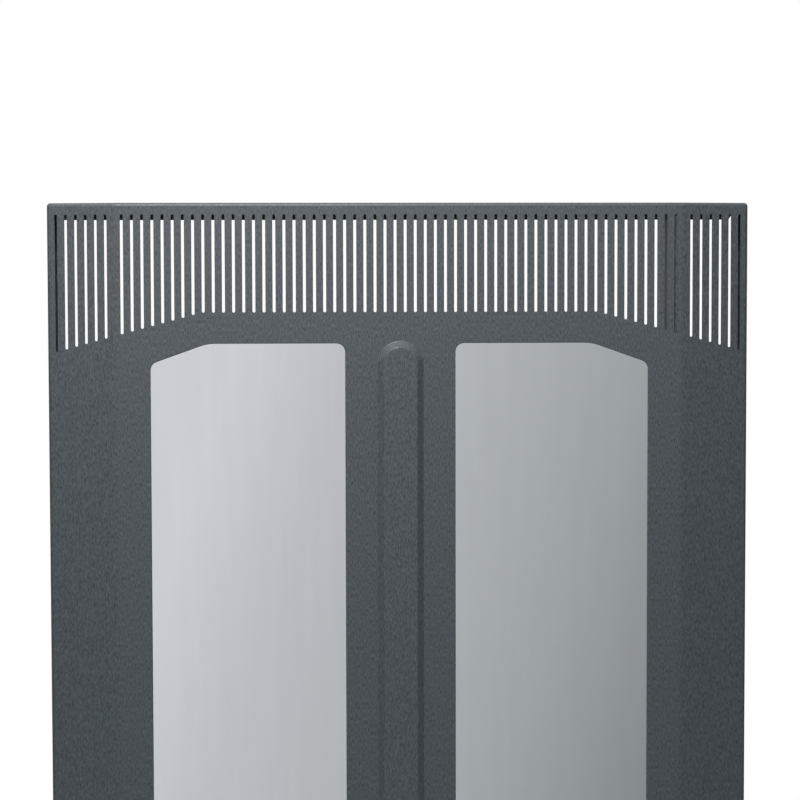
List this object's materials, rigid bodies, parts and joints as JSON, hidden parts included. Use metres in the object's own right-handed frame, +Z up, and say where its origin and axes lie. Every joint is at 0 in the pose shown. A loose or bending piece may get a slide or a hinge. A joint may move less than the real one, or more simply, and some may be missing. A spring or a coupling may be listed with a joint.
{
  "type": "acrylic rack door",
  "caption": "Vented steel rack door with leaning side facets, tall acrylic windows, a pressed centre rib, pivot bushes for hinge pins and a keyed quarter-turn cam lock.",
  "frame": {"origin": "on the hinge axis, at the outer face of the door's bottom flange", "axes": "+X from the hinge side to the lock side, +Y from the front face into the rack, +Z up the hinge axis"},
  "size_m": [0.5588, 0.0483, 1.2444],
  "materials": {
    "powder_coat": "fine textured powder coat, matt",
    "acrylic": "clear polished acrylic, lightly smoked",
    "foam": "closed-cell foam tape",
    "plated_steel": "zinc plated",
    "nylon": "natural nylon",
    "rubber": "moulded rubber",
    "lock_metal": "bright plated die-cast zinc"
  },
  "bodies": {
    "door": {"door_skin": "powder_coat", "left_window": "acrylic", "right_window": "acrylic", "left_window_tape": "foam", "right_window_tape": "foam", "window_studs": "plated_steel", "window_washers": "plated_steel", "window_nuts": "plated_steel", "side_stiffener": "powder_coat", "bottom_pivot_plate": "powder_coat", "top_pivot_plate": "powder_coat", "bottom_pivot_bush": "nylon", "top_pivot_bush": "nylon", "bumpers": "rubber", "ground_stud": "plated_steel", "ground_washer": "plated_steel", "ground_nut": "plated_steel", "lock_body": "lock_metal", "lock_nut": "plated_steel"},
    "lock": {"lock_plug": "lock_metal", "stop_washer": "plated_steel", "lock_cam": "plated_steel", "cam_screw": "plated_steel"}
  },
  "joints": [
    {"name": "lock_turn", "type": "hinge", "parent": "door", "child": "lock", "pos_m": [0.51763, -0.01771, 0.6222], "axis": [0.1564, -0.9877, 0], "range_deg": [0, 90]}
  ]
}
